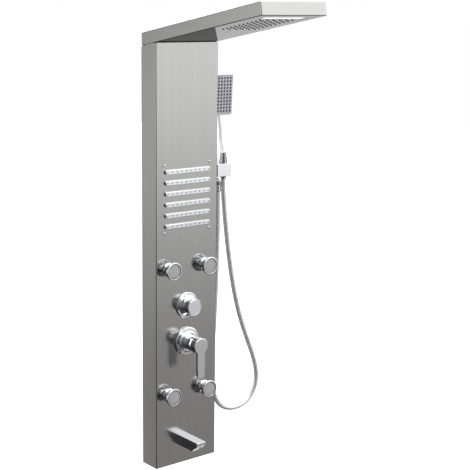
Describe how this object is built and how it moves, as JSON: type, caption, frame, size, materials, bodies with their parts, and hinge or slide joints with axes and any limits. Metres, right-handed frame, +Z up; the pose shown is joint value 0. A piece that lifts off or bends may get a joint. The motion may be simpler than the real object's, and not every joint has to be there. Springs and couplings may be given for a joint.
{
  "type": "shower panel column",
  "caption": "Wall-hung steel shower column with a tilted overhead rain and waterfall head, massage bars, swivel jets, lever mixer, spout and a hand shower on a hose.",
  "frame": {"origin": "on the wall plane, at the bottom of the column, on its centre line", "axes": "+Z up along the column, -Y out of the wall towards the bather, +X to the bather's right, where the hand shower hangs"},
  "size_m": [0.4194, 0.519, 1.367],
  "materials": {
    "brushed_panel": "vertically brushed stainless sheet",
    "polished_plate": "polished stainless plate",
    "chrome": "polished chrome plating",
    "steel_hardware": "plain zinc-grey steel",
    "brass": "cast brass, unplated",
    "white_plastic": "glossy white plastic",
    "grey_face": "fine grey nozzle face",
    "dark_rubber": "soft rubber nozzles",
    "tube_plastic": "braid-free white water tube",
    "hose_metal": "spiral wound metal hose",
    "cartridge_plastic": "ceramic cartridge housing"
  },
  "bodies": {
    "root": {"bottom_cap": "brushed_panel", "column_shell": "brushed_panel", "diverter_body": "brass", "diverter_rosette": "chrome", "hand_shower_tube": "tube_plastic", "holder_block": "chrome", "holder_bracket": "chrome", "hose_outlet": "chrome", "hose_swivel_nut": "chrome", "jet_flange_1": "chrome", "jet_flange_2": "chrome", "jet_flange_3": "chrome", "jet_flange_4": "chrome", "jet_tubes": "tube_plastic", "massage_bar_1": "chrome", "massage_bar_2": "chrome", "massage_bar_3": "chrome", "massage_bar_4": "chrome", "massage_bar_5": "chrome", "massage_bar_6": "chrome", "massage_manifold": "white_plastic", "massage_nozzles": "dark_rubber", "massage_screws": "chrome", "massage_tube": "tube_plastic", "mixer_body": "brass", "mixer_cartridge": "cartridge_plastic", "mixer_rosette": "chrome", "mixer_sleeve": "chrome", "neck_straps": "steel_hardware", "overhead_shell": "brushed_panel", "overhead_spray_plate": "polished_plate", "panel_nuts": "brass", "rain_chamber": "white_plastic", "rain_nozzles": "dark_rubber", "rain_tube": "tube_plastic", "shower_hose": "hose_metal", "spout_aerator": "grey_face", "spout_body": "chrome", "spout_tube": "tube_plastic", "transfer_tube": "tube_plastic", "wall_bracket_lower": "steel_hardware", "wall_bracket_upper": "steel_hardware", "waterfall_chute": "white_plastic", "waterfall_tube": "tube_plastic"},
    "mixer_carrier": {"mixer_carrier": "cartridge_plastic"},
    "mixer_lever": {"mixer_lever": "chrome"},
    "diverter_knob": {"diverter_knob": "chrome", "diverter_spindle": "brass"},
    "hose_end": {"hose_cone_nut": "chrome"},
    "hand_shower": {"handset_body": "chrome", "handset_face": "grey_face", "handset_nozzles": "dark_rubber"},
    "jet_1": {"jet_head_1": "chrome", "jet_face_1": "grey_face"},
    "jet_2": {"jet_head_2": "chrome", "jet_face_2": "grey_face"},
    "jet_3": {"jet_head_3": "chrome", "jet_face_3": "grey_face"},
    "jet_4": {"jet_head_4": "chrome", "jet_face_4": "grey_face"}
  },
  "joints": [
    {"name": "mixer_turn", "type": "hinge", "parent": "root", "child": "mixer_carrier", "pos_m": [0, -0.107, 0.377], "axis": [0, -1, 0], "range_deg": [-45, 45]},
    {"name": "mixer_lift", "type": "hinge", "parent": "mixer_carrier", "child": "mixer_lever", "pos_m": [0, -0.107, 0.377], "axis": [-1, 0, 0], "range_deg": [0, 20]},
    {"name": "diverter_turn", "type": "hinge", "parent": "root", "child": "diverter_knob", "pos_m": [0, -0.07, 0.487], "axis": [0, -1, 0], "range_deg": [-144, 144]},
    {"name": "hand_shower_lift", "type": "slide", "parent": "root", "child": "hose_end", "axis": [0, 0, 1], "range_m": [0, 0.05], "deforming": ["shower_hose"]},
    {"name": "hand_shower_turn", "type": "hinge", "parent": "hose_end", "child": "hand_shower", "pos_m": [0.16, -0.035, 0.891], "axis": [0, 0, 1], "range_deg": [-90, 90]},
    {"name": "jet_1_tilt", "type": "hinge", "parent": "root", "child": "jet_1", "pos_m": [-0.0655, -0.08, 0.602], "axis": [1, 0, 0], "range_deg": [-14, 14]},
    {"name": "jet_2_tilt", "type": "hinge", "parent": "root", "child": "jet_2", "pos_m": [0.0655, -0.08, 0.602], "axis": [1, 0, 0], "range_deg": [-14, 14]},
    {"name": "jet_3_tilt", "type": "hinge", "parent": "root", "child": "jet_3", "pos_m": [-0.0655, -0.08, 0.222], "axis": [1, 0, 0], "range_deg": [-14, 14]},
    {"name": "jet_4_tilt", "type": "hinge", "parent": "root", "child": "jet_4", "pos_m": [0.0655, -0.08, 0.222], "axis": [1, 0, 0], "range_deg": [-14, 14]}
  ]
}
